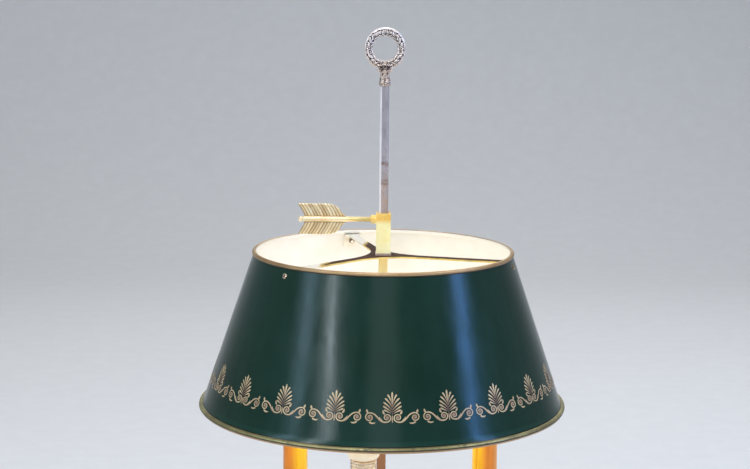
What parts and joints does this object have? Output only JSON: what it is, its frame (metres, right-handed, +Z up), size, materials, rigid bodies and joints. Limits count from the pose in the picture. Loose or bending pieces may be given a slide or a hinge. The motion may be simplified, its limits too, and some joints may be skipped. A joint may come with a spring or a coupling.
{
  "type": "bouillotte lamp",
  "caption": "Free-standing candle-light lamp with a painted metal shade that slides on a square rod and is clamped by an arrow-shaped screw.",
  "frame": {"origin": "on the rod's axis, in the plane that the base stands on", "axes": "+Z up along the rod; -Y is the front, -X is the side that the arrow screw points to"},
  "size_m": [0.3816, 0.3816, 0.6747],
  "materials": {
    "felt": "green baize",
    "brass": "aged polished brass",
    "gilt": "bright brass of the arrow and collar",
    "iron": "as cast",
    "phenolic": "dark moulded phenolic",
    "steel": "plain steel",
    "rod_steel": "old bright steel with rust marks",
    "bronze": "silvery gilt bronze, chased",
    "spider_bronze": "dark bronze",
    "tole": "gloss bottle green enamel outside, off-white inside",
    "nickel": "nickel plate, worn",
    "wax": "honey coloured wax look",
    "bulb_cream": "cream plastic",
    "bulb_glass": "frosted, warm white",
    "insulation": "brown insulation"
  },
  "bodies": {
    "stand": {"felt_pad": "felt", "base_dish": "brass", "gallery": "brass", "base_weight": "iron", "cord_bush": "phenolic", "switch_body": "phenolic", "switch_nut": "brass", "stem_tube": "steel", "stem_washer": "steel", "stem_nut": "steel", "main_wire": "insulation", "column_foot": "brass", "column_shaft": "brass", "column_capital": "brass", "arm_hub": "brass", "rod_socket": "brass", "rod_set_screw": "steel", "rod": "rod_steel", "ring_finial": "bronze", "arm_1": "brass", "arm_2": "brass", "arm_3": "brass", "arm_wire_1": "insulation", "arm_wire_2": "insulation", "arm_wire_3": "insulation", "holder_tube_1": "steel", "holder_tube_2": "steel", "holder_tube_3": "steel", "drip_pan_1": "brass", "drip_pan_2": "brass", "drip_pan_3": "brass", "candle_cup_1": "brass", "candle_cup_2": "brass", "candle_cup_3": "brass", "cup_nuts": "steel", "candle_sleeve_1": "wax", "candle_sleeve_2": "wax", "candle_sleeve_3": "wax", "lampholder_1": "nickel", "lampholder_2": "nickel", "lampholder_3": "nickel", "holder_contacts": "brass"},
    "shade_group": {"shade": "tole", "spider": "spider_bronze", "collar": "gilt", "shade_screws": "nickel", "shade_nuts": "steel"},
    "arrow": {"arrow_screw": "gilt"},
    "bulb_one": {"bulb_base_1": "bulb_cream", "bulb_glass_1": "bulb_glass"},
    "bulb_two": {"bulb_base_2": "bulb_cream", "bulb_glass_2": "bulb_glass"},
    "bulb_three": {"bulb_base_3": "bulb_cream", "bulb_glass_3": "bulb_glass"},
    "knob": {"switch_knob": "brass"}
  },
  "joints": [
    {"name": "shade_slide", "type": "slide", "parent": "stand", "child": "shade_group", "axis": [0, 0, 1], "range_m": [-0.07, 0.125]},
    {"name": "arrow_turn", "type": "hinge", "parent": "shade_group", "child": "arrow", "pos_m": [-0.0145, 0, 0.4775], "axis": [-1, 0, 0], "range_deg": [0, 540]},
    {"name": "bulb_one_turn", "type": "hinge", "parent": "stand", "child": "bulb_one", "pos_m": [-0.01794, -0.11865, 0.246], "axis": [0, 0, 1], "range_deg": [0, 1440]},
    {"name": "bulb_two_turn", "type": "hinge", "parent": "stand", "child": "bulb_two", "pos_m": [0.11173, 0.04379, 0.246], "axis": [0, 0, 1], "range_deg": [0, 1440]},
    {"name": "bulb_three_turn", "type": "hinge", "parent": "stand", "child": "bulb_three", "pos_m": [-0.09378, 0.07487, 0.246], "axis": [0, 0, 1], "range_deg": [0, 1440]},
    {"name": "switch_turn", "type": "hinge", "parent": "stand", "child": "knob", "pos_m": [0, -0.066, 0.025], "axis": [0, 0, 1], "continuous": true}
  ]
}
